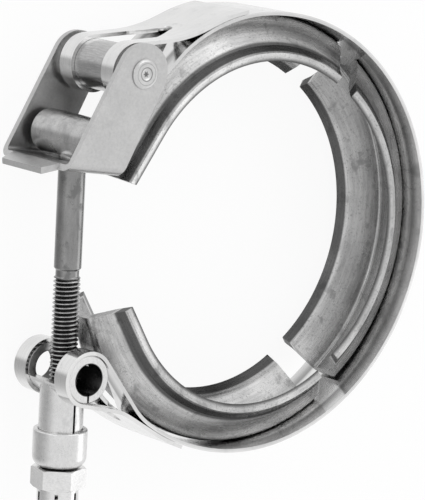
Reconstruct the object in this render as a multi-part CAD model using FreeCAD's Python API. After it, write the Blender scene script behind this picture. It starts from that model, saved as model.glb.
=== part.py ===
import FreeCAD, Part
import math
import os

# A quick release V band clamp. The origin is the centre of the ring, halfway across the band.
# +Z is the ring's axis, the T-bolt runs along Y on the -X side, and the latch is above the trunnion.

# The band: one polished strip, folded back on itself at both ends to make two slotted loops.
band_width = 25.4
band_inner_radius = 64.6
band_thickness = 1.1
fold_gap = 0.1
turn_radius = 25.0
loop_slot_width = 14.2
slot_reach = 21.2
slot_straight = 11.0
slot_tip_radius = 2.6
weld_spot_diameter = 5.0
weld_spot_pitch = 10.0

# The upper loop holds the latch's pivot sleeve, whose centre stands off the ring's inner face.
# Angles are those of the ring, from +X.
pivot_standoff = 4.635
pivot_from_bolt_x = 11.65
pivot_sleeve_radius = 7.2
upper_shoulder_angle = 93.0
upper_shoulder_radius = 50.0
upper_depart_angle = 124.0
upper_leave_angle = 112.0
upper_end_angle = 98.5
upper_strap_angle = 3.0
upper_dip_radius = 50.0

# The lower loop holds the trunnion, which stands off in the same way, where the T-bolt's axis passes
# a little inside the ring's inner face. Its angles are given as seen in a mirror across the X axis.
bolt_inset = 4.8
trunnion_standoff = 6.1452
trunnion_tube_radius = 7.05
trunnion_bore_radius = 4.65
lower_shoulder_angle = 108.0
lower_shoulder_radius = 64.0
lower_depart_angle = 125.0
lower_leave_angle = 122.0
lower_end_angle = 112.0
lower_strap_angle = 13.5
lower_dip_radius = 14.0
loop_clearance = 0.07

# The three V segments: one pressed section, whose arc is tighter than the sprung open band. Beside
# the T-bolt the lips run out straight and the web is squeezed in, so that the bolt passes. A lip's
# edge is trimmed nearly flat, at a small angle to the ring.
segment_thickness = 2.4
web_half_width = 4.0
lip_inset = 0.1
lip_height = 3.3
leg_end_depth = 8.2
lip_corner_depth = 9.5
lip_trim_angle = 17.0
web_bend_radius = 2.6
lip_bend_radius = 2.2
lip_slope = 40.0
straight_end_length = 22.0
web_squeeze_angle = 9.0

# The latch: a folded U with two arms, a notched web under the T-bolt's head, and a finger lip.
plate_thickness = 1.8
arm_side_clearance = 2.1
arm_radius = 8.35
arm_offset = 0.4
arm_lean = 2.3163
arm_taper = 0.8
web_tilt = 7.5
web_gap = 0.7
web_bend = 3.0
shank_slot_width = 9.0
shank_slot_play = 2.0
head_notch_clearance = 0.7
swing_clearance = 0.25
lip_length = 5.2
lip_drop_angle = 14.0
lip_front_half_width = 9.4
lip_root_half_width = 11.2

# The pivot's rivet, peened over both arms.
rivet_radius = 3.0
rivet_head_radius = 4.35
rivet_head_height = 0.9
rivet_dimple_radius = 1.9
rivet_dimple_depth = 0.35
sleeve_bore_clearance = 0.1

# The T-bolt: M8, with a cylindrical head across the latch.
bolt_radius = 3.95
head_radius = 6.3
head_inset = 0.2
head_below_pivot = 19.3
head_chamfer = 0.5
undercut_radius = 3.4
undercut_length = 3.0
thread_above_trunnion = 27.3
bolt_tip_below_nut = 2.7
bolt_tip_chamfer = 0.9

# The trunnion: one sheet rolled into a tube across the loop and a split sleeve along the bolt.
tube_inset = 0.1
sleeve_radius = 6.45
sleeve_length = 26.2
bolt_hole_clearance = 0.25
trunnion_window_depth = 2.0
trunnion_window_margin = 0.45
seam_width = 0.7
tube_chamfer = 0.4

# The ferrule: a cup that holds the sleeve's two halves together, and its lock nut.
ferrule_wall = 1.35
ferrule_lap = 9.4
ferrule_floor = 1.8
ferrule_corner_radius = 3.2
ferrule_rim_radius = 0.5
sleeve_fit_clearance = 0.1
nut_across_flats = 14.0
nut_hex_height = 6.0
nut_gap = 0.1
nut_chamfer = 0.8
crown_radius = 6.05
crown_height = 5.0
crown_taper = 0.5
crown_slot_width = 1.0
crown_slot_depth = 3.9
crown_slots = 6
nut_thread_clearance = 0.05
nut_turn = 39.3

band_half_width = band_width / 2
bolt_x = bolt_inset - band_inner_radius
trunnion_y = -math.sqrt((band_inner_radius + trunnion_standoff) ** 2 - bolt_x ** 2)
pivot_x = bolt_x + pivot_from_bolt_x
pivot_y = math.sqrt((band_inner_radius + pivot_standoff) ** 2 - pivot_x ** 2)
head_y = pivot_y - head_below_pivot
ring_mid_radius = band_inner_radius + band_thickness / 2
strap_mid_radius = ring_mid_radius + band_thickness + fold_gap
upper_loop_mid_radius = pivot_sleeve_radius + loop_clearance + band_thickness / 2
lower_loop_mid_radius = trunnion_tube_radius + loop_clearance + band_thickness / 2
lip_corner_z = band_half_width - lip_inset
leg_end_z = lip_corner_z - lip_height
latch_inner_width = band_width + 2 * arm_side_clearance
latch_inner_half = latch_inner_width / 2
latch_outer_half = latch_inner_half + plate_thickness
arm_angle = 180 + math.degrees(math.atan(head_below_pivot / pivot_from_bolt_x)) + arm_lean
head_length = band_width - 2 * head_inset
trunnion_length = band_width - 2 * tube_inset
trunnion_window_y = trunnion_y - trunnion_window_depth
sleeve_end_y = trunnion_y - sleeve_length
ferrule_radius = sleeve_radius + sleeve_fit_clearance + ferrule_wall
ferrule_top_y = sleeve_end_y + ferrule_lap
ferrule_bottom_y = sleeve_end_y - ferrule_floor
nut_top_y = ferrule_bottom_y - nut_gap
nut_bottom_y = nut_top_y - nut_hex_height - crown_height
bolt_tip_y = nut_bottom_y - bolt_tip_below_nut
undercut_bottom_y = trunnion_y + thread_above_trunnion
undercut_top_y = undercut_bottom_y + undercut_length

# Each segment: its name, the ring angle where it touches the band, how far its centre is from the
# ring's, the ring angles of its two ends, and the angles about its own centre where its arc stops.
segments = [
    ("v_segment_upper", 67.0, 5.0, 57.6, 159.2, 52.0, 145.7),
    ("v_segment_right", 35.0, 0.9, -50.2, 49.4, -56.0, 54.0),
    ("v_segment_lower", -73.7, 4.8, -158.2, -58.6, -150.0, -54.0),
]


def vec(x, y, z=0.0):
    return FreeCAD.Vector(x, y, z)


def unit(angle):
    """The unit vector at an angle in degrees from +X."""
    return vec(math.cos(math.radians(angle)), math.sin(math.radians(angle)))


Z_AXIS = vec(0, 0, 1)
X_AXIS = vec(1, 0, 0)
Y_AXIS = vec(0, 1, 0)
ORIGIN = vec(0, 0, 0)


# A flat path is a list of lines and arcs that run on without a kink. A strip follows it.
def line(start, end):
    return {"start": start, "end": end}


def arc(centre, radius, first, last):
    return {"centre": centre, "radius": radius, "first": first, "last": last}


def reverse(path):
    turned = []
    for item in reversed(path):
        if "centre" in item:
            turned.append(arc(item["centre"], item["radius"], item["last"], item["first"]))
        else:
            turned.append(line(item["end"], item["start"]))
    return turned


def mirror(path):
    """The path's image across the X axis."""
    turned = []
    for item in path:
        if "centre" in item:
            centre = vec(item["centre"].x, -item["centre"].y)
            turned.append(arc(centre, item["radius"], -item["first"], -item["last"]))
        else:
            start, end = item["start"], item["end"]
            turned.append(line(vec(start.x, -start.y), vec(end.x, -end.y)))
    return turned


def shift(item, distance):
    """One item of a path, moved to the left of its direction."""
    if "centre" in item:
        sign = 1 if item["last"] > item["first"] else -1
        return arc(item["centre"], item["radius"] - sign * distance, item["first"], item["last"])
    along = (item["end"] - item["start"]).normalize()
    left = vec(-along.y, along.x) * distance
    return line(item["start"] + left, item["end"] + left)


def edge(item):
    if "centre" not in item:
        return Part.LineSegment(item["start"], item["end"]).toShape()
    middle = (item["first"] + item["last"]) / 2
    points = [item["centre"] + unit(a) * item["radius"] for a in (item["first"], middle, item["last"])]
    return Part.Arc(*points).toShape()


def strip_face(path, thickness):
    """A flat face of even thickness along a path."""
    left = [edge(shift(item, thickness / 2)) for item in path]
    right = [edge(shift(item, -thickness / 2)) for item in reversed(path)]
    first, last = path[0], path[-1]
    caps = []
    for item, at_start in ((first, True), (last, False)):
        ends = []
        for side in (1, -1):
            moved = edge(shift(item, side * thickness / 2))
            ends.append(nearest_end(moved, item, at_start))
        caps.append(Part.LineSegment(*ends).toShape())
    edges = left + [caps[1]] + right + [caps[0]]
    return Part.Face(Part.Wire(Part.__sortEdges__(edges)))


def nearest_end(moved, item, at_start):
    """The end of a moved edge that belongs to the start or the end of its item."""
    if "centre" in item:
        angle = item["first"] if at_start else item["last"]
        point = item["centre"] + unit(angle) * item["radius"]
    else:
        point = item["start"] if at_start else item["end"]
    return min((v.Point for v in moved.Vertexes), key=lambda p: p.distanceToPoint(point))


def rounded_path(points, radii):
    """Lines through the points, with an arc of the given radius at each inner point."""
    path = []
    start = points[0]
    for before, corner, after, radius in zip(points, points[1:], points[2:], radii):
        inward = (corner - before).normalize()
        outward = (after - corner).normalize()
        heading_in = math.degrees(math.atan2(inward.y, inward.x))
        turn = math.degrees(inward.getAngle(outward))
        if inward.x * outward.y - inward.y * outward.x < 0:
            turn = -turn
        side = 1 if turn > 0 else -1
        tangent = radius * math.tan(math.radians(abs(turn) / 2))
        arc_start = corner - inward * tangent
        left = vec(-inward.y, inward.x) * side
        first = heading_in - side * 90
        path.append(line(start, arc_start))
        path.append(arc(arc_start + left * radius, radius, first, first + turn))
        start = corner + outward * tangent
    path.append(line(start, points[-1]))
    return path


def box_between(low, high):
    return Part.makeBox(high.x - low.x, high.y - low.y, high.z - low.z, low)


# The band
def end_path(loop_centre, loop_radius, strap_angle, shoulder_angle, shoulder_radius,
             depart, leave, end, dip_radius):
    """From the ring over its shoulder, round the loop and back along the shoulder to the end."""
    shoulder = unit(shoulder_angle) * (ring_mid_radius - shoulder_radius)
    turn_centre = shoulder + unit(depart) * (shoulder_radius - turn_radius)
    across = loop_centre - turn_centre
    bearing = math.degrees(math.atan2(across.y, across.x))
    heading = bearing + math.degrees(math.asin((turn_radius + loop_radius) / across.Length))
    loop_start = heading + 90
    loop_end = strap_angle + 90 - 360 * math.ceil((strap_angle + 90 - loop_start) / 360)
    strap_start = loop_centre + unit(loop_end) * loop_radius
    outer_radius = shoulder_radius + band_thickness + fold_gap
    strap_end = shoulder + unit(leave) * outer_radius
    corner = meeting_point(strap_start, strap_angle, strap_end, leave - 90)
    straps = rounded_path([strap_start, corner, strap_end], [dip_radius])
    turn_end = turn_centre + unit(heading - 90) * turn_radius
    return [
        arc(shoulder, shoulder_radius, shoulder_angle, depart),
        arc(turn_centre, turn_radius, depart, heading - 90),
        line(turn_end, loop_centre + unit(loop_start) * loop_radius),
        arc(loop_centre, loop_radius, loop_start, loop_end),
    ] + straps + [arc(shoulder, outer_radius, leave, end)]


def meeting_point(first, first_angle, second, second_angle):
    """Where two lines meet, each given by a point and the angle of its direction."""
    gap = second - first
    along, other = unit(first_angle), unit(second_angle)
    return first + along * ((gap.x * other.y - gap.y * other.x) / (along.x * other.y - along.y * other.x))


def band_path():
    upper = end_path(vec(pivot_x, pivot_y), upper_loop_mid_radius, upper_strap_angle,
                     upper_shoulder_angle, upper_shoulder_radius, upper_depart_angle,
                     upper_leave_angle, upper_end_angle, upper_dip_radius)
    lower = end_path(vec(bolt_x, -trunnion_y), lower_loop_mid_radius, lower_strap_angle,
                     lower_shoulder_angle, lower_shoulder_radius, lower_depart_angle,
                     lower_leave_angle, lower_end_angle, lower_dip_radius)
    ring = arc(ORIGIN, ring_mid_radius, -lower_shoulder_angle, upper_shoulder_angle)
    return reverse(mirror(lower)) + [ring] + upper


def loop_slot(centre, loop_radius, side):
    """What the slot takes out of one loop and its straps: side is 1 where the strap lies above."""
    half = loop_slot_width / 2
    wrap = loop_radius + 2 * band_thickness
    straight_x = centre.x + slot_straight
    tip_x = centre.x + slot_reach - slot_tip_radius
    outline = [vec(centre.x - wrap, 0, -half), vec(straight_x, 0, -half),
               vec(tip_x, 0, -slot_tip_radius), vec(tip_x, 0, slot_tip_radius),
               vec(straight_x, 0, half), vec(centre.x - wrap, 0, half)]
    height = wrap + slot_reach
    slot = Part.Face(Part.makePolygon(outline + outline[:1])).extrude(Y_AXIS * height)
    slot = slot.fuse(Part.makeCylinder(slot_tip_radius, height, vec(tip_x, 0, 0), Y_AXIS))
    slot.translate(vec(0, centre.y - (wrap if side > 0 else slot_reach), 0))
    return slot


def weld_spots():
    """The spot welds that join each folded end to the layer below it, across the gap."""
    spots = []
    ends = [(upper_shoulder_angle, upper_shoulder_radius, upper_leave_angle, upper_end_angle, 1),
            (lower_shoulder_angle, lower_shoulder_radius, lower_leave_angle, lower_end_angle, -1)]
    for shoulder_angle, shoulder_radius, leave, end, side in ends:
        centre = unit(side * shoulder_angle) * (ring_mid_radius - shoulder_radius)
        outward = unit(side * (leave + end) / 2)
        for row in (-0.5, 0.5):
            foot = centre + outward * shoulder_radius + Z_AXIS * row * weld_spot_pitch
            spots.append(Part.makeCylinder(weld_spot_diameter / 2, band_thickness + fold_gap,
                                           foot, outward))
    return spots


def make_band():
    face = strip_face(band_path(), band_thickness)
    face.translate(vec(0, 0, -band_half_width))
    band = face.extrude(Z_AXIS * band_width)
    band = band.cut(loop_slot(vec(pivot_x, pivot_y), upper_loop_mid_radius, 1))
    band = band.cut(loop_slot(vec(bolt_x, trunnion_y), lower_loop_mid_radius, -1))
    return band.fuse(weld_spots())


# The V segments
def segment_section(offset, squeeze=0.0):
    """The pressed section in the plane of radius and height, its web squeezed towards the lips."""
    web_radius = band_inner_radius - offset - segment_thickness / 2
    reach = 2 * segment_thickness
    slope = math.radians(lip_slope)
    beyond = (leg_end_z + reach * math.cos(slope), leg_end_depth + reach * math.sin(slope))
    half = [beyond, (leg_end_z, leg_end_depth), (web_half_width, squeeze)]
    near = [vec(web_radius - depth, z) for z, depth in half]
    far = [vec(web_radius - depth, -z) for z, depth in reversed(half)]
    radii = [lip_bend_radius, web_bend_radius, web_bend_radius, lip_bend_radius]
    face = strip_face(rounded_path(near + far, radii), segment_thickness)
    corner = vec(web_radius - lip_corner_depth, lip_corner_z)
    along = unit(180 + lip_trim_angle) * 2 * reach
    outward = vec(0, 2 * reach)
    points = [corner + along, corner - along, corner - along + outward, corner + along + outward]
    trim = Part.Face(Part.makePolygon(points + points[:1]))
    face = face.cut([trim, trim.mirror(ORIGIN, Y_AXIS)]).Faces[0]
    face.rotate(ORIGIN, X_AXIS, 90)
    return face


def trim_block(angle, outward):
    """A block that starts at a ring angle, on the side where the segment ends."""
    size = 2 * band_inner_radius
    block = Part.makeBox(size, size, 2 * band_width, vec(0, 0, -band_width))
    if outward < 0:
        block.translate(vec(0, -size, 0))
    block.rotate(ORIGIN, Z_AXIS, angle)
    return block


def straight_run(offset, angle, side):
    """The straight end that follows the arc at an angle, its web squeezed in more and more."""
    start = segment_section(offset)
    squeeze = straight_end_length * math.tan(math.radians(web_squeeze_angle))
    end = segment_section(offset, squeeze)
    start.rotate(ORIGIN, Z_AXIS, angle)
    end.rotate(ORIGIN, Z_AXIS, angle)
    end.translate(unit(angle + side * 90) * straight_end_length)
    return Part.makeLoft([start.OuterWire, end.OuterWire], True, True)


def make_segment(touch, offset, first, last, first_bend, last_bend):
    """The section swept round its arc, with a straight run at each end, cut off at its two ends."""
    face = segment_section(offset)
    face.rotate(ORIGIN, Z_AXIS, first_bend)
    arc_run = face.revolve(ORIGIN, Z_AXIS, last_bend - first_bend)
    runs = [straight_run(offset, first_bend, -1), straight_run(offset, last_bend, 1)]
    segment = arc_run.fuse(runs).removeSplitter()
    segment.translate(unit(touch) * offset)
    return segment.cut([trim_block(first, -1), trim_block(last, 1)])


# The latch
def web_frame():
    """The point of the web's upper face under the T-bolt's head, its direction and its normal."""
    down = unit(-90 - web_tilt)
    seat = vec(bolt_x, head_y) + down * (head_radius + web_gap)
    return seat, unit(-web_tilt), down


def arm_edge(side):
    """The top of an arm's edge and the edge's angle: side is 1 towards the ring, -1 away."""
    centre = vec(pivot_x, pivot_y) - unit(arm_angle + 90) * arm_offset
    angle = arm_angle + side * arm_taper
    return centre + unit(angle + 90) * side * arm_radius, angle


def web_crossing(depth, side):
    """Where an arm's edge meets a line at this depth below the web's upper face."""
    seat, along, down = web_frame()
    top, angle = arm_edge(side)
    return meeting_point(top, angle, seat + down * depth, -web_tilt)


def arm_face():
    """One arm's outline: round at the pivot, with straight edges down to the web."""
    right_top, left_top = arm_edge(1)[0], arm_edge(-1)[0]
    right_foot = web_crossing(plate_thickness, 1)
    left_foot = web_crossing(plate_thickness, -1)
    centre = (right_top + left_top) / 2
    top = Part.Arc(left_top, centre - unit(arm_angle) * arm_radius, right_top).toShape()
    rim = Part.makePolygon([right_top, right_foot, left_foot, left_top])
    return Part.Face(Part.Wire(Part.__sortEdges__([top] + rim.Edges)))


def web_block(first, last, low, high, half_width):
    """A block along the web: first and last along it, low and high below its upper face."""
    seat, along, down = web_frame()
    corners = [seat + along * a + down * b for a, b in
               ((first, low), (last, low), (last, high), (first, high))]
    face = Part.Face(Part.makePolygon(corners + corners[:1]))
    face.translate(vec(0, 0, -half_width))
    return face.extrude(Z_AXIS * 2 * half_width)


def channel_blank():
    """The folded U before its notches: the arms' outline all across, hollowed between the arms."""
    outline = arm_face()
    outline.translate(vec(0, 0, -latch_outer_half))
    solid = outline.extrude(Z_AXIS * 2 * latch_outer_half)
    beyond = 4 * head_below_pivot
    hollow = web_block(-beyond, beyond, -beyond, 0, latch_inner_half)
    channel = solid.cut(hollow)
    outer = [e for e in channel.Edges if is_bend_edge(e, latch_outer_half, plate_thickness)]
    channel = channel.makeFillet(web_bend, outer)
    inner = [e for e in channel.Edges if is_bend_edge(e, latch_inner_half, 0)]
    return channel.makeFillet(web_bend - plate_thickness, inner)


def is_bend_edge(candidate, half_width, depth):
    """True for an edge along the web at this distance from the middle and from its upper face."""
    if candidate.Curve.TypeId != "Part::GeomLine":
        return False
    seat, along, down = web_frame()
    middle = candidate.CenterOfMass
    first, second = [v.Point for v in candidate.Vertexes]
    level = (second - first).normalize().dot(along)
    below = (middle - vec(seat.x, seat.y, middle.z)).dot(down)
    return (abs(abs(level) - 1) < 1e-6 and abs(abs(middle.z) - half_width) < 1e-6
            and abs(below - depth) < 1e-6)


def web_left_end():
    """How far the web runs to the left of the seat, along its upper face."""
    seat, along, down = web_frame()
    return (web_crossing(0, -1) - seat).dot(along)


def seat_end():
    """Where the web ends past the seat, so that it swings out clear of the T-bolt's head."""
    seat, along, down = web_frame()
    pivot = vec(pivot_x, pivot_y)
    clear_radius = pivot.distanceToPoint(vec(bolt_x, head_y)) + head_radius + swing_clearance
    depth = (seat - pivot).dot(down)
    half_chord = math.sqrt(max(clear_radius ** 2 - depth ** 2, 0))
    return (pivot - seat).dot(along) - half_chord


def finger_lip():
    """The lip beyond the web, bent down and tapered towards its front."""
    seat, along, down = web_frame()
    middle = down * plate_thickness / 2
    root = seat + along * web_left_end() + middle
    inside = root + along * plate_thickness
    heading = unit(180 + lip_drop_angle)
    front = root + heading * lip_length
    face = strip_face(rounded_path([inside, root, front], [plate_thickness]), plate_thickness)
    face.translate(vec(0, 0, -lip_root_half_width))
    lip = face.extrude(Z_AXIS * 2 * lip_root_half_width)
    taper = [vec(inside.x, 0, lip_root_half_width), vec(root.x, 0, lip_root_half_width),
             vec(front.x, 0, lip_front_half_width), vec(front.x - lip_length, 0, 0)]
    taper += [vec(p.x, 0, -p.z) for p in reversed(taper[:-1])]
    outline = Part.Face(Part.makePolygon(taper + taper[:1]))
    outline.translate(vec(0, root.y - lip_length, 0))
    return lip.common(outline.extrude(Y_AXIS * 2 * lip_length))


def shank_notch():
    """The slot for the bolt, open towards the ring, and the wider notch that clears its head."""
    half = shank_slot_width / 2
    seat, along, down = web_frame()
    depth = 3 * plate_thickness
    axis_at = (vec(bolt_x, seat.y) - seat).dot(along)
    closed = axis_at - shank_slot_play
    open_end = 4 * arm_radius
    slot = web_block(closed, open_end, -depth, depth, half)
    round_end = Part.makeCylinder(half, 2 * depth, seat + along * closed - down * depth, down)
    head_half = head_length / 2 + head_notch_clearance
    wide = web_block(seat_end(), open_end, -depth, depth, head_half)
    return slot.fuse([round_end, wide])


def make_latch():
    latch = channel_blank().fuse(finger_lip()).cut(shank_notch())
    hole = Part.makeCylinder(rivet_radius, 2 * latch_outer_half,
                             vec(pivot_x, pivot_y, -latch_outer_half), Z_AXIS)
    return latch.cut(hole)


def make_pivot_sleeve():
    outer = Part.makeCylinder(pivot_sleeve_radius, latch_inner_width,
                              vec(pivot_x, pivot_y, -latch_inner_half), Z_AXIS)
    bore = Part.makeCylinder(rivet_radius + sleeve_bore_clearance, latch_inner_width,
                             vec(pivot_x, pivot_y, -latch_inner_half), Z_AXIS)
    return outer.cut(bore)


def make_rivet():
    """A pin with a shallow peened head on each arm."""
    half = latch_outer_half
    top = half + rivet_head_height
    edge_height = rivet_head_height * 0.45
    outline = [vec(0, 0, 0), vec(rivet_radius, 0, 0), vec(rivet_radius, 0, half),
               vec(rivet_head_radius, 0, half), vec(rivet_head_radius, 0, half + edge_height),
               vec(rivet_head_radius * 0.8, 0, top), vec(rivet_dimple_radius, 0, top),
               vec(rivet_dimple_radius * 0.6, 0, top - rivet_dimple_depth),
               vec(0, 0, top - rivet_dimple_depth)]
    half_pin = Part.Face(Part.makePolygon(outline + outline[:1])).revolve(ORIGIN, Z_AXIS, 360)
    other = half_pin.mirror(ORIGIN, Z_AXIS)
    pin = half_pin.fuse(other).removeSplitter()
    pin.translate(vec(pivot_x, pivot_y, 0))
    return pin


# The T-bolt, the trunnion, the ferrule and the nut share the bolt's axis.
def turned(outline):
    """A solid turned about the bolt's axis from points of radius and height."""
    points = [vec(bolt_x + radius, y) for radius, y in outline]
    face = Part.Face(Part.makePolygon(points + points[:1]))
    return face.revolve(vec(bolt_x, 0), Y_AXIS, 360)


def bolt_cylinder(radius, low_y, high_y):
    return Part.makeCylinder(radius, high_y - low_y, vec(bolt_x, low_y, 0), Y_AXIS)


def cross_cylinder(radius, length, y):
    return Part.makeCylinder(radius, length, vec(bolt_x, y, -length / 2), Z_AXIS)


def make_bolt():
    head = cross_cylinder(head_radius, head_length, head_y)
    rims = [e for e in head.Edges if e.Closed]
    head = head.makeChamfer(head_chamfer, rims)
    neck = (bolt_radius - undercut_radius)
    shank = turned([(0, head_y), (bolt_radius, head_y), (bolt_radius, undercut_top_y),
                    (undercut_radius, undercut_top_y - neck),
                    (undercut_radius, undercut_bottom_y + neck),
                    (bolt_radius, undercut_bottom_y), (bolt_radius, bolt_tip_y + bolt_tip_chamfer),
                    (bolt_radius - bolt_tip_chamfer, bolt_tip_y), (0, bolt_tip_y)])
    return head.fuse(shank).removeSplitter()


def make_trunnion():
    tube = cross_cylinder(trunnion_tube_radius, trunnion_length, trunnion_y)
    tube = tube.makeChamfer(tube_chamfer, [e for e in tube.Edges if e.Closed])
    sleeve = bolt_cylinder(sleeve_radius, sleeve_end_y, trunnion_y)
    body = tube.fuse(sleeve)
    window_half = sleeve_radius + trunnion_window_margin
    reach = 2 * trunnion_tube_radius
    window = box_between(vec(bolt_x - reach, trunnion_window_y, -window_half),
                         vec(bolt_x + reach, trunnion_y + reach, window_half))
    body = body.cut(window)
    body = body.cut(cross_cylinder(trunnion_bore_radius, trunnion_length, trunnion_y))
    bolt_hole = bolt_cylinder(bolt_radius + bolt_hole_clearance, sleeve_end_y, trunnion_y + reach)
    body = body.cut(bolt_hole)
    seam_y = trunnion_y - trunnion_bore_radius
    seam = box_between(vec(bolt_x - seam_width / 2, sleeve_end_y, -trunnion_length / 2),
                       vec(bolt_x + seam_width / 2, trunnion_y, trunnion_length / 2))
    bridge = box_between(vec(bolt_x - seam_width, seam_y - trunnion_tube_radius, -1),
                         vec(bolt_x + seam_width, seam_y, 1))
    seam = seam.cut(bridge)
    return body.cut(seam)


def make_ferrule():
    inner = sleeve_radius + sleeve_fit_clearance
    hole = bolt_radius + bolt_hole_clearance
    cup = turned([(hole, ferrule_bottom_y), (ferrule_radius, ferrule_bottom_y),
                  (ferrule_radius, ferrule_top_y), (inner, ferrule_top_y),
                  (inner, sleeve_end_y), (hole, sleeve_end_y)])
    corner = [e for e in cup.Edges if at_ring(e, ferrule_radius, ferrule_bottom_y)]
    cup = cup.makeFillet(ferrule_corner_radius, corner)
    rim = [e for e in cup.Edges if at_ring(e, ferrule_radius, ferrule_top_y)]
    return cup.makeFillet(ferrule_rim_radius, rim)


def at_ring(candidate, radius, y):
    """True for a circle about the bolt's axis with this radius and height."""
    if candidate.Curve.TypeId != "Part::GeomCircle":
        return False
    same_radius = abs(candidate.Curve.Radius - radius) < 1e-6
    return same_radius and abs(candidate.Curve.Center.y - y) < 1e-6


def make_nut():
    """A hexagon with a slotted crown, whose fingers grip the thread."""
    corner_radius = nut_across_flats / math.sqrt(3)
    hex_bottom = nut_top_y - nut_hex_height
    corners = [vec(bolt_x, hex_bottom) + vec(corner_radius * math.cos(a), 0, corner_radius * math.sin(a))
               for a in [math.radians(60 * k + nut_turn) for k in range(6)]]
    hexagon = Part.Face(Part.makePolygon(corners + corners[:1])).extrude(Y_AXIS * nut_hex_height)
    rise = nut_chamfer * 0.6
    flat_radius = corner_radius - nut_chamfer
    turned_blank = turned([(0, nut_top_y), (flat_radius, nut_top_y), (corner_radius, nut_top_y - rise),
                           (corner_radius, hex_bottom + rise), (flat_radius, hex_bottom),
                           (0, hex_bottom)])
    hexagon = hexagon.common(turned_blank)
    crown = turned([(0, hex_bottom), (crown_radius, hex_bottom),
                    (crown_radius, nut_bottom_y + crown_taper * 2),
                    (crown_radius - crown_taper, nut_bottom_y), (0, nut_bottom_y)])
    nut = hexagon.fuse(crown)
    bore = bolt_cylinder(bolt_radius + nut_thread_clearance, nut_bottom_y, nut_top_y)
    nut = nut.cut(bore)
    for k in range(crown_slots):
        slot = Part.makeBox(crown_radius * 2, crown_slot_depth, crown_slot_width,
                            vec(bolt_x, nut_bottom_y, -crown_slot_width / 2))
        slot.rotate(vec(bolt_x, 0, 0), Y_AXIS, 30 - nut_turn + 360.0 * k / crown_slots)
        nut = nut.cut(slot)
    return nut


def save(name, shape):
    solids = shape.Solids
    if len(solids) == 1:
        shape = solids[0]
    shape.exportStep(os.path.join("parts", name + ".step"))
    box = shape.BoundBox
    print(name, "solids", len(solids), "valid", shape.isValid(), "volume", round(shape.Volume, 1),
          "size", [round(s, 2) for s in (box.XLength, box.YLength, box.ZLength)])


os.makedirs("parts", exist_ok=True)
save("band", make_band())
for name, *sizes in segments:
    save(name, make_segment(*sizes))
save("latch_plate", make_latch())
save("pivot_sleeve", make_pivot_sleeve())
save("pivot_rivet", make_rivet())
save("t_bolt", make_bolt())
save("trunnion", make_trunnion())
save("ferrule", make_ferrule())
save("lock_nut", make_nut())
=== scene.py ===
# %% [markdown]
# # A V band clamp with a quick release latch
#
# The clamp joins two flanged pipes. A polished strap squeezes three pressed V segments on to the
# flanges, and a T-bolt with a lock nut pulls the strap's two looped ends together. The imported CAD
# model comes first, as a frame that never moves. Everything after it gives each piece the softened
# edges, the rolled thread and the steel finishes that the photograph shows.

# %% Load the frame
import bmesh
import bpy
import math
from mathutils import Matrix, Vector


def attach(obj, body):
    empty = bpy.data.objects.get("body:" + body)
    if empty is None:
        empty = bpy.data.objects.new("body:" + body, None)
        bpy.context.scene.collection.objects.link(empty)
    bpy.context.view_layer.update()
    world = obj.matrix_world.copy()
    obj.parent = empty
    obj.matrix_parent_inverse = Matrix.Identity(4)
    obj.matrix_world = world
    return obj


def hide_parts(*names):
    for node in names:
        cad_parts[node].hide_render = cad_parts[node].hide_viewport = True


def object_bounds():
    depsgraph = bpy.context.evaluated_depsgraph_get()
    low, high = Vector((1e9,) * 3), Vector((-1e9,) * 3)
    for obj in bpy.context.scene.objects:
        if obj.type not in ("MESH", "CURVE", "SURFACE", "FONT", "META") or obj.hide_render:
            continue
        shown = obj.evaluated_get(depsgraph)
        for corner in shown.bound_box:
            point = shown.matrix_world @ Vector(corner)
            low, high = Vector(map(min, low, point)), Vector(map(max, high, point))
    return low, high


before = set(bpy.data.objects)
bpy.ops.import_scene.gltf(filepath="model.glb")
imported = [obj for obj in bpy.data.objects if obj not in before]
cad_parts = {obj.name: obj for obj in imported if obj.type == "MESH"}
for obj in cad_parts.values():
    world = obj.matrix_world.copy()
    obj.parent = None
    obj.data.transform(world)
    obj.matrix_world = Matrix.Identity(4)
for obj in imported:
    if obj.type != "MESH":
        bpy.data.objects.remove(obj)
cad_low, cad_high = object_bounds()
mm = 0.001
print("frame of", len(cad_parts), "nodes, size in mm",
      [round(side / mm, 1) for side in cad_high - cad_low])

# %% [markdown]
# ## Camera
#
# The clamp lies on the floor with its ring's axis upright, because it can't stand by itself. The
# photograph shows it upright, so the camera looks down on the lying clamp from the latch's side and
# is rolled until the bolt hangs down the picture. Its place was fitted to the ring's ellipses. A
# long lens keeps the near and far lips almost the same size, as a product photograph does.

# %% Set up the camera
camera_place = Vector((-0.5585, 0.1553, 0.6768))
camera_right = Vector((0.7802, 0.0525, 0.6233))
camera_up = Vector((0.0735, 0.9819, -0.1747))
camera_back = camera_right.cross(camera_up)

camera = bpy.data.objects.new("camera", bpy.data.cameras.new("camera"))
bpy.context.scene.collection.objects.link(camera)
turned = Matrix((camera_right, camera_up, camera_back)).transposed().to_4x4()
camera.matrix_world = Matrix.Translation(camera_place) @ turned
camera.data.lens = 216.0
camera.data.clip_start = 0.05
camera.data.clip_end = 20.0
bpy.context.scene.camera = camera
print("camera", round(camera_place.length, 3), "m from the ring's centre")

# %% [markdown]
# ## Shader sums
#
# A steel finish is mostly arithmetic on noise: grain times strength, plus stain, and so on. Wiring
# each Math node by hand hides that. This small class wraps a socket, so that Python's own +, -
# and * make the nodes, with a plain number on either side.

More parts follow.
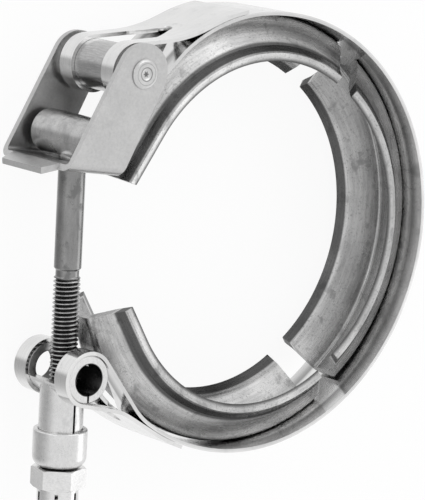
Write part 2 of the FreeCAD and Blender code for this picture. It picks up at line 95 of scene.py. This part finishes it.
# %% Wrap a socket so that sums make nodes
class Number:
    """A value that varies over the surface. Sums and products of numbers become Math nodes."""

    def __init__(self, finish, socket):
        self.finish = finish
        self.socket = socket

    def calc(self, operation, *others, clamp=False):
        """Any Math node, with this value as its first one."""
        settings = {"operation": operation, "use_clamp": clamp}
        values = {index: value for index, value in enumerate((self, *others))}
        return self.finish.node("Math", settings, values)

    def __add__(self, other):
        return self.calc("ADD", other)

    def __sub__(self, other):
        return self.calc("SUBTRACT", other)

    def __mul__(self, other):
        return self.calc("MULTIPLY", other)

    def __rsub__(self, other):
        return self.finish.node("Math", {"operation": "SUBTRACT"}, {0: other, 1: self})

    __radd__ = __add__
    __rmul__ = __mul__

    def step(self, low, high):
        """A soft step from 0 at low to 1 at high."""
        inputs = {"Value": self, "From Min": low, "From Max": high}
        return self.finish.node("MapRange", {"interpolation_type": "SMOOTHSTEP"}, inputs)

    def ranged(self, low, high):
        """This value, taken from 0 to 1, as a value from low to high."""
        return self.finish.node("MapRange", {}, {"Value": self, "To Min": low, "To Max": high})


print("sums of", Number.__name__, "objects make Math nodes")

# %% [markdown]
# A second class holds the node tree itself. One of its methods adds every kind of node, and a few
# short ones name what the finishes ask for most: noise, a coordinate, a mix, a direction.

# %% Wrap a node tree
class Finish:
    """The node tree of one material, or of the sky."""

    def __init__(self, owner, coordinates="Object", end="OutputMaterial"):
        owner.use_nodes = True
        self.tree = owner.node_tree
        self.tree.nodes.clear()
        self.end = end
        self.place = self.node("TexCoord", output=coordinates)

    def node(self, kind, settings=None, inputs=None, output=0):
        """Adds a node of any kind, gives it its settings and inputs, and returns one output."""
        made = self.tree.nodes.new("ShaderNode" + kind)
        for name, value in (settings or {}).items():
            setattr(made, name, value)
        for key, value in (inputs or {}).items():
            if isinstance(value, Number):
                self.tree.links.new(value.socket, made.inputs[key])
            else:
                made.inputs[key].default_value = value
        return None if output is None else Number(self, made.outputs[output])

    def noise(self, per_mm, detail, roughness=0.5):
        """Noise whose cells are counted for each millimetre along X, Y and Z."""
        scale = tuple(count / mm for count in per_mm)
        place = self.node("Mapping", None, {"Vector": self.place, "Scale": scale})
        return self.node("TexNoise", None, {"Vector": place, "Scale": 1.0, "Detail": detail,
                                            "Roughness": roughness})

    def axis(self, name):
        """One object coordinate, in millimetres."""
        parts = self.node("SeparateXYZ", None, {"Vector": self.place}, output=name)
        return parts * (1 / mm)

    def outward(self, name):
        """How far the surface turns towards one object axis, from -1 to 1."""
        normal = self.node("TexCoord", output="Normal")
        return self.node("SeparateXYZ", None, {"Vector": normal}, output=name)

    def mix(self, factor, first, second):
        """A colour between two grey levels or colours."""
        inputs = {"Factor": factor, 6: first, 7: second}
        return self.node("Mix", {"data_type": "RGBA"}, inputs, output=2)

    def facing(self, direction):
        """How far the place, taken as a direction, points the given way: 1 is exactly that way."""
        inputs = {0: self.place, 1: tuple(direction)}
        return self.node("VectorMath", {"operation": "DOT_PRODUCT"}, inputs, output="Value")

    def ray(self, *kinds):
        """1 for rays of the named kinds, and 0 for all others."""
        path = [self.node("LightPath", output="Is %s Ray" % kind) for kind in kinds]
        total = path[0]
        for other in path[1:]:
            total = total.calc("MAXIMUM", other)
        return total

    def surface(self, shader):
        """Sends the shader to the tree's output."""
        self.node(self.end, None, {"Surface": shader}, output=None)


def grey(level, warm=0.0):
    """A nearly neutral steel colour."""
    return (level * (1 + warm), level, level * (1 - warm), 1.0)


print("one", Finish.__name__, "object for each material, and one for the sky")

# %% [markdown]
# ## Steel finishes
#
# Stainless steel has almost no colour of its own. What tells a polished strap from a tumbled plate
# is how rough it is, which way its grain runs, and the marks that handling left. Each finish below
# is one call of the same function with other numbers: the grain's count for each millimetre along
# each axis, its depth, and how much stain and speckle lie on it. A low count along an axis draws
# the grain out that way.

# %% A function that makes steel finishes
# Painted shade, and the stain on the bolt's shank, darken colours towards this grey.
shade_and_stain_grey = grey(0.03)


def steel(name, dark, light, rough, rough_spread, grain, grain_depth, speckle, stain,
          speckle_size=0.45, shading=None):
    """A steel finish. The shading, if any, darkens parts of the piece with painted shade or stain.
    """
    material = bpy.data.materials.new(name)
    finish = Finish(material)
    lines = finish.noise(grain, detail=3.0, roughness=0.6)
    clouds = finish.noise((0.11, 0.11, 0.11), detail=3.0)
    pits = finish.noise((1 / speckle_size,) * 3, detail=4.0, roughness=0.65)
    blots = finish.noise((0.21, 0.17, 0.26), detail=5.0, roughness=0.62).step(0.56, 0.70)
    pitted = pits.step(0.56, 0.68)
    tone = lines * 0.6 + clouds * 0.4 - pitted * speckle - blots * stain
    colour = finish.mix(tone.step(0.15, 0.85), grey(dark), grey(light, 0.004))
    # A shading paints shade, or on the bolt's shank stain, by mixing the colour towards that grey.
    if shading:
        colour = finish.mix(shading(finish), shade_and_stain_grey, colour)
    roughness = (lines - 0.5) * rough_spread + clouds * (rough_spread * 0.5) + rough
    roughness = roughness + blots * stain * 0.25
    height = lines * grain_depth + pits * (speckle * 0.03)
    bump = finish.node("Bump", None, {"Height": height, "Distance": 0.001, "Strength": 0.5})
    finish.surface(finish.node("BsdfPrincipled", None, {
        "Base Color": colour, "Roughness": roughness, "Metallic": 1.0, "Normal": bump}))
    return material


print("the darkest marks are grey", shade_and_stain_grey[1])

# %% [markdown]
# ### Painted shade and stain that change along their piece
#
# - The strap's inner face has painted shade beside the segments.
# - On a pressed segment, a dark stripe of painted shade lies at the foot of the lips, and
#   lighter painted shade lies on the faces inside the V.
# - The trunnion's bore has painted shade inside.
# - The rivet has painted shade in a ring round its dimple, in a punched star and round its rim.
# - On the T-bolt, the forged head is lighter than the stained shank, and the rolled thread has
#   painted shade in its roots and keeps its bright tone on its crests.
#
# All of them need to know where the pieces are, so those places come first. The lips' two heights
# are counted in millimetres from the middle of the band, whose edges lie at 12.7.

# %% Name the places on the pieces
strap_inner = 64.6 * mm
bolt_x = -59.8 * mm
trunnion_y = -37.8 * mm
bore_radius = 4.68 * mm
pivot_x = -48.15 * mm
pivot_y = 49.75 * mm
thread_radius = 3.95 * mm
thread_top = -10.5 * mm
head_bottom = 25.0 * mm
lip_foot = (9.4, 9.9)
lip_edge = (11.9, 12.3)


def from_axis(finish, x, y):
    """The distance in millimetres, square to Z, from a line through x and y."""
    along = finish.axis("X") - x / mm
    across = finish.axis("Y") - y / mm
    return (along * along + across * across).calc("SQRT")


print("bolt", round(abs(bolt_x) / mm, 1), "mm from the ring's axis")

# %% [markdown]
# Each shading is 1 where the steel keeps its own tone, and less where shade is painted or, on the
# bolt's shank, where it is stained. Its steps are in millimetres.

# %% Shade the strap and the segments
def strap_shading(finish):
    """Painted shade on the strap's inner face beside the segments, and none outside and under them.
    """
    outside = from_axis(finish, 0.0, 0.0).step(strap_inner / mm + 0.3, strap_inner / mm + 0.7)
    height = finish.axis("Z").calc("ABSOLUTE")
    # Painted shade, darkest next to the segments and lighter towards the strap's edges.
    rim = height.step(8.5, 12.4).ranged(0.42, 0.9)
    under_segments = 1 - height.step(7.0, 9.5)
    return rim.calc("MAXIMUM", outside).calc("MAXIMUM", under_segments)


def segment_shading(finish):
    """Painted shade at the lips' feet on both sides, and lighter painted shade inside the V."""
    height = finish.axis("Z").calc("ABSOLUTE")
    # Painted shade: a dark stripe in the creases at the lips' feet, lighter on the faces inside the
    # V.
    out_of_foot = 1 - height.step(*lip_foot) + height.step(*lip_edge)
    turned_out = (finish.axis("Z") * finish.outward("Z")).step(0.3, 1.5)
    out_of_v = turned_out.calc("MAXIMUM", height.step(8.2, 9.4))
    return out_of_foot.ranged(0.16, 1.0) * out_of_v.ranged(0.7, 1.0)


print("shadings:", strap_shading.__name__, segment_shading.__name__)

# %% [markdown]
# The small pieces are turned or punched, so their painted shade lies round an axis.

# %% Shade the trunnion, the rivet and the bolt
dimple_ring = 1.9
rivet_rim = 3.1


def bore_shading(finish):
    """Painted shade inside the trunnion's tube."""
    radius = from_axis(finish, bolt_x, trunnion_y)
    # Painted shade, nearly black, inside the bore.
    return radius.step(bore_radius / mm + 0.06, bore_radius / mm + 0.27).ranged(0.06, 1.0)


def rivet_shading(finish):
    """Painted shade round the rivet's dimple, in a small punched star at its centre, and at its
    rim.
    """
    radius = from_axis(finish, pivot_x, pivot_y)
    around = (finish.axis("Y") - pivot_y / mm).calc("ARCTAN2", finish.axis("X") - pivot_x / mm)
    points = (around * 6.0).calc("COSINE")
    # Painted shade stands in for the star's recess, the dimple's edge and the rim's crease.
    star = (radius - points * 0.22).step(0.62, 0.80)
    ring = (radius - dimple_ring).calc("ABSOLUTE").step(0.05, 0.22)
    rim = (radius - rivet_rim).calc("ABSOLUTE").step(0.02, 0.16).ranged(0.6, 1.0)
    return star.ranged(0.25, 1.0) * ring.ranged(0.3, 1.0) * rim


def bolt_shade_and_stain(finish):
    """Light on the head, stained darker down the shank, and painted shade in the thread's roots."""
    height = finish.axis("Y")
    across = finish.axis("X") - bolt_x / mm
    depth = finish.axis("Z")
    radius = (across * across + depth * depth).calc("SQRT")
    # Painted shade in the thread's roots; the crests keep the steel's own tone.
    crest = radius.step(thread_radius / mm - 0.62, thread_radius / mm - 0.12)
    plain = height.step(thread_top / mm - 0.4, thread_top / mm + 0.4)
    # Stain darkens the shank below the head.
    shank = plain * height.step(head_bottom / mm - 5.0, head_bottom / mm).ranged(0.5, 1.0)
    return crest.calc("SUBTRACT", plain, clamp=True).calc("MAXIMUM", shank)


print("shadings:", bore_shading.__name__, rivet_shading.__name__, bolt_shade_and_stain.__name__)

# %% [markdown]
# The numbers of each call are the dark and the light grey, the roughness and its spread, the grain
# and its depth, and the speckle and the stain.

# %% Make the finishes
polished_strap = steel("polished_strap", 0.66, 0.86, 0.12, 0.08, (0.05, 0.05, 6.0), 0.02, 0.05, 0.2,
                       shading=strap_shading)
pressed_steel = steel("pressed_steel", 0.34, 0.70, 0.24, 0.10, (0.10, 0.10, 2.2), 0.02, 0.45, 0.3,
                      speckle_size=0.6, shading=segment_shading)
peened_rivet = steel("peened_rivet", 0.50, 0.66, 0.28, 0.10, (1.3, 1.3, 1.3), 0.01, 0.15, 0.1,
                     shading=rivet_shading)
ground_sleeve = steel("ground_sleeve", 0.34, 0.58, 0.20, 0.10, (2.2, 2.2, 0.3), 0.02, 0.2, 0.1)
satin_sheet = steel("satin_sheet", 0.46, 0.60, 0.30, 0.10, (1.3, 1.3, 1.3), 0.01, 0.15, 0.15)
tumbled_tube = steel("tumbled_tube", 0.62, 0.82, 0.26, 0.12, (1.6, 0.8, 1.6), 0.02, 0.15, 0.3,
                     shading=bore_shading)
turned_steel = steel("turned_steel", 0.34, 0.66, 0.22, 0.12, (0.9, 0.12, 0.4), 0.01, 0.15, 0.5,
                     shading=bolt_shade_and_stain)
bright_nut = steel("bright_nut", 0.64, 0.86, 0.20, 0.10, (1.2, 3.0, 1.2), 0.02, 0.1, 0.15)
print("finishes:", [m.name for m in bpy.data.materials])

# %% [markdown]
# ## Softened sheet metal
#
# A CAD solid has knife edges. Cut and tumbled steel has edges that are rounded by a tenth or two of
# a millimetre, and each of them catches a thin line of light. The shapes themselves are right
# already, so each plain piece is a merged copy of its CAD node whose sharp edges are bevelled. The
# copy then stands for the node.

# %% Bevel a merged copy of a CAD node
sharp_corner = math.radians(32)
hard_shading = math.radians(50)
flat_enough = math.radians(0.3)
same_place = 0.002 * mm


def merged_copy(node):
    """A bmesh with the node's shape, its loose triangles joined into clean faces."""
    work = bmesh.new()
    work.from_mesh(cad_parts[node].data)
    bmesh.ops.remove_doubles(work, verts=work.verts, dist=same_place)
    bmesh.ops.dissolve_limit(work, angle_limit=flat_enough, verts=work.verts, edges=work.edges)
    return work


def soften(work, radius):
    """Bevels every edge where two faces meet at a sharp corner."""
    edges = [e for e in work.edges if e.is_manifold and e.calc_face_angle(0.0) > sharp_corner]
    bmesh.ops.bevel(work, geom=edges, offset=radius, offset_type="OFFSET", segments=2,
                    profile=0.5, affect="EDGES", clamp_overlap=True, material=-1)


def finish_piece(name, work, material, body, slot_name, *nodes):
    """Turns a bmesh into an object that rides on a body and stands for its CAD nodes."""
    mesh = bpy.data.meshes.new(name)
    for face in work.faces:
        face.smooth = True
    work.to_mesh(mesh)
    work.free()
    mesh.set_sharp_from_angle(angle=hard_shading)
    piece = bpy.data.objects.new(name, mesh)
    bpy.context.scene.collection.objects.link(piece)
    mesh.materials.append(material)
    even = piece.modifiers.new("even_normals", "WEIGHTED_NORMAL")
    even.keep_sharp = True
    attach(piece, body)
    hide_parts(*nodes)
    print(name, "has", len(mesh.polygons), "faces")


print("corners over", round(math.degrees(sharp_corner)), "degrees are softened")

# %% [markdown]
# Between its two ends the trunnion's tube is cut open, so that the T-bolt can pass. On the ring's
# side the sheet runs through from end to end, which makes the near bore look dark.

# %% The wall that joins the tube's ends on the ring's side
tube_radius = 7.0 * mm
wall_half_length = 6.95 * mm
wall_half_angle = 29
wall_angle_step = 2


def add_far_wall(work):
    """Adds a curved wall of the tube's thickness, square to the T-bolt."""
    angles = [math.radians(a) for a in range(-wall_half_angle, wall_half_angle + 1,
                                             wall_angle_step)]
    inner = [(bore_radius, a) for a in angles]
    outer = [(tube_radius, a) for a in reversed(angles)]
    corners = [work.verts.new((bolt_x + r * math.cos(a), trunnion_y + r * math.sin(a),
                               -wall_half_length)) for r, a in inner + outer]
    base = work.faces.new(corners)
    grown = bmesh.ops.extrude_face_region(work, geom=[base], use_keep_orig=True)
    top = [item for item in grown["geom"] if isinstance(item, bmesh.types.BMVert)]
    bmesh.ops.translate(work, verts=top, vec=(0, 0, 2 * wall_half_length))
    bmesh.ops.recalc_face_normals(work, faces=work.faces)


print("wall", round((tube_radius - bore_radius) / mm, 2), "mm thick")

# %% [markdown]
# Ten of the eleven pieces need nothing more, apart from the trunnion's wall. Each row gives the
# new piece, its CAD node, the edge radius in millimetres, the finish, the moving body and the
# material slot.

# %% Soften the plain pieces
plain_pieces = [
    ("strap", "band", 0.2, polished_strap, "strap", "polished_strap"),
    ("upper_segment", "v_segment_upper", 0.3, pressed_steel, "strap", "pressed_steel"),
    ("right_segment", "v_segment_right", 0.3, pressed_steel, "strap", "pressed_steel"),
    ("lower_segment", "v_segment_lower", 0.3, pressed_steel, "strap", "pressed_steel"),
    ("latch", "latch_plate", 0.22, satin_sheet, "latch", "satin_sheet"),
    ("sleeve_on_pivot", "pivot_sleeve", 0.25, ground_sleeve, "latch", "polished_strap"),
    ("rivet", "pivot_rivet", 0.12, peened_rivet, "latch", "satin_sheet"),
    ("rolled_trunnion", "trunnion", 0.2, tumbled_tube, "trunnion_body", "satin_sheet"),
    ("cup_ferrule", "ferrule", 0.15, tumbled_tube, "trunnion_body", "satin_sheet"),
    ("crowned_nut", "lock_nut", 0.12, bright_nut, "nut", "turned_steel"),
]
for name, node, radius, material, body, slot_name in plain_pieces:
    work = merged_copy(node)
    soften(work, radius * mm)
    if node == "trunnion":
        add_far_wall(work)
    finish_piece(name, work, material, body, slot_name, node)

# %% [markdown]
# ## The T-bolt's rolled thread
#
# The thread is M8 with 1.25 mm from crest to crest. Spinning the outline of one turn round the bolt
# while it climbs by one pitch for each turn gives a true helix, and merging the turns joins them
# into one skin.

# %% Wind the thread
thread_tip = -79.6 * mm
thread_pitch = 1.25 * mm
thread_depth = 0.72 * mm
crest_flat = 0.22 * mm
crest_drop = 0.06 * mm
crest_spread = 0.02 * mm
root_flat = 0.26 * mm
steps_per_turn = 36


def thread_outline():
    """Radius and height along one pitch, from the middle of a root to the next one."""
    root = thread_radius - thread_depth
    middle = thread_pitch / 2
    return [(root, 0.0), (root, root_flat / 2),
            (thread_radius - crest_drop, middle - crest_flat / 2 - crest_spread),
            (thread_radius, middle - crest_flat / 4), (thread_radius, middle + crest_flat / 4),
            (thread_radius - crest_drop, middle + crest_flat / 2 + crest_spread),
            (root, thread_pitch - root_flat / 2), (root, thread_pitch)]


def wind_turns():
    """A bmesh with a few more turns than the bolt needs."""
    work = bmesh.new()
    turns = math.ceil((thread_top - thread_tip) / thread_pitch) + 3
    start = thread_tip - 1.5 * thread_pitch
    points = [work.verts.new((bolt_x + r, start + y, 0)) for r, y in thread_outline()]
    edges = [work.edges.new(pair) for pair in zip(points, points[1:])]
    bmesh.ops.spin(work, geom=points + edges, cent=(bolt_x, 0, 0), axis=(0, 1, 0),
                   dvec=(0, thread_pitch / steps_per_turn, 0), angle=2 * math.pi * turns,
                   steps=steps_per_turn * turns)
    bmesh.ops.remove_doubles(work, verts=work.verts, dist=0.01 * mm)
    return work


print("thread of", round((thread_top - thread_tip) / thread_pitch), "turns")

# %% [markdown]
# The thread runs out at its top and is chamfered at its tip. Two planes then cut it to length.

# %% Trim the thread
tip_chamfer = 0.9 * mm
run_out_depth = 0.55 * mm
run_out_slope = 0.7


def pull_in(vertex, limit):
    """Moves a vertex straight towards the bolt's axis until it is no farther than the limit."""
    outward = Vector((vertex.co.x - bolt_x, 0, vertex.co.z))
    if outward.length > limit:
        vertex.co -= outward * (1 - limit / outward.length)


def cut_off(work, height, up):
    """Cuts away what lies past a height on the bolt, above it or below it, and closes the cut."""
    bmesh.ops.bisect_plane(work, geom=work.verts[:] + work.edges[:] + work.faces[:], dist=1e-9,
                           plane_co=(0, height, 0), plane_no=(0, up, 0), clear_outer=True)
    rim = [e for e in work.edges if e.is_boundary
           and all(abs(v.co.y - height) < 1e-7 for v in e.verts)]
    bmesh.ops.contextual_create(work, geom=rim)


def make_thread():
    """The whole thread, closed at both ends."""
    work = wind_turns()
    for vertex in work.verts:
        above_tip = max(vertex.co.y - thread_tip, 0.0)
        below_top = max(thread_top - vertex.co.y, 0.0)
        pull_in(vertex, min(thread_radius - tip_chamfer + above_tip,
                            thread_radius - run_out_depth + below_top * run_out_slope))
    cut_off(work, thread_top, 1)
    cut_off(work, thread_tip, -1)
    bmesh.ops.recalc_face_normals(work, faces=work.faces)
    return work


print("thread from", round(thread_top / mm, 1), "to", round(thread_tip / mm, 1), "mm")

# %% [markdown]
# The head and the plain shank are the CAD piece above the undercut, so the saddle where the shank
# meets the head stays as it was. A short stub of the shank is drawn in to fit inside the thread.

# %% Make the threaded bolt
bolt_edge = 0.15 * mm
stub_length = 0.2 * mm
stub_radius = 3.1 * mm


def make_bolt():
    """Head, plain shank and thread in one bmesh."""
    work = merged_copy("t_bolt")
    soften(work, bolt_edge)
    cut_off(work, thread_top - stub_length, -1)
    for vertex in work.verts:
        if vertex.co.y < thread_top + 0.01 * mm:
            pull_in(vertex, stub_radius)
    thread = make_thread()
    holder = bpy.data.meshes.new("thread_turns")
    thread.to_mesh(holder)
    thread.free()
    work.from_mesh(holder)
    bpy.data.meshes.remove(holder)
    return work


finish_piece("threaded_bolt", make_bolt(), turned_steel, "bolt", "turned_steel", "t_bolt")

# %% [markdown]
# ## Light and floor
#
# The clamp lies in plain soft light on white. Polished steel only shows what is around it, so what
# stands round the clamp matters more than any colour here: white screens all round, apart from a
# dim room low on the camera's left. The floor is white to the camera. In reflections it is white
# for a part and lets the room show through for the rest, and it still takes the clamp's shadow.

# %% Build the floor
floor_gap = 0.05 * mm
floor_reach = 3.0
white_share = 0.92
room_share = 0.9

work = bmesh.new()
bmesh.ops.create_grid(work, x_segments=1, y_segments=1, size=floor_reach)
bmesh.ops.translate(work, vec=(0, 0, cad_low.z - floor_gap), verts=work.verts)
floor_mesh = bpy.data.meshes.new("floor")
work.to_mesh(floor_mesh)
work.free()
floor = bpy.data.objects.new("floor", floor_mesh)
bpy.context.scene.collection.objects.link(floor)

white_floor = bpy.data.materials.new("white_floor")
finish = Finish(white_floor)
background = finish.ray("Camera", "Glossy", "Transmission")
paint = finish.node("BsdfDiffuse", None, {"Color": grey(0.86)})
glow = finish.node("Emission", None, {"Color": grey(1.0), "Strength": 1.0})
shown = finish.node("MixShader", None, {0: background * white_share, 1: paint, 2: glow})
beyond = finish.node("BsdfTransparent")
in_steel = finish.ray("Glossy") * room_share
finish.surface(finish.node("MixShader", None, {0: in_steel, 1: shown, 2: beyond}))
floor_mesh.materials.append(white_floor)
print("floor", round(floor_gap / mm, 2), "mm below the clamp")

# %% [markdown]
# The sky is the room that the steel mirrors. The two steps say how far a direction leans to the
# right or above before it meets a white screen. The camera itself sees plain white.

# %% Set the sky
world = bpy.data.worlds.new("studio")
bpy.context.scene.world = world
sky = Finish(world, "Generated", "OutputWorld")
right_of_room = sky.facing(camera_right).step(-1.3, -0.45)
above_room = sky.facing(camera_up).step(0.02, 0.35)
screens = right_of_room.calc("MAXIMUM", above_room)
room = sky.node("Background", None, {"Color": sky.mix(screens, grey(0.17), grey(0.95))})
white = sky.node("Background", None, {"Color": grey(1.0)})
sky.surface(sky.node("MixShader", None, {0: sky.ray("Camera"), 1: room, 2: white}))
print("sky of", len(world.node_tree.nodes), "nodes")

# %% [markdown]
# Three weak soft boxes give the steel its broad lights. Their distances and sizes are in metres.

# %% Hang the lamps
def lamp(name, direction, distance, width, height, watts):
    """A soft box that looks at the ring's centre from a direction."""
    light = bpy.data.lights.new(name, "AREA")
    light.shape = "RECTANGLE"
    light.size = width
    light.size_y = height
    light.energy = watts
    lantern = bpy.data.objects.new(name, light)
    bpy.context.scene.collection.objects.link(lantern)
    towards = Vector(direction).normalized()
    lantern.location = towards * distance
    lantern.rotation_mode = "QUATERNION"
    lantern.rotation_quaternion = towards.to_track_quat("Z", "Y")
    print(name, "of", watts, "W")


lamp("key_softbox", (0.35, 0.55, 0.75), 0.7, 0.5, 0.4, 0.6)
lamp("side_softbox", (-0.9, 0.35, 0.25), 0.8, 0.12, 0.5, 0.3)
lamp("far_softbox", (0.9, -0.3, 0.5), 0.8, 0.4, 0.4, 0.4)

bpy.context.scene.view_settings.view_transform = "Standard"
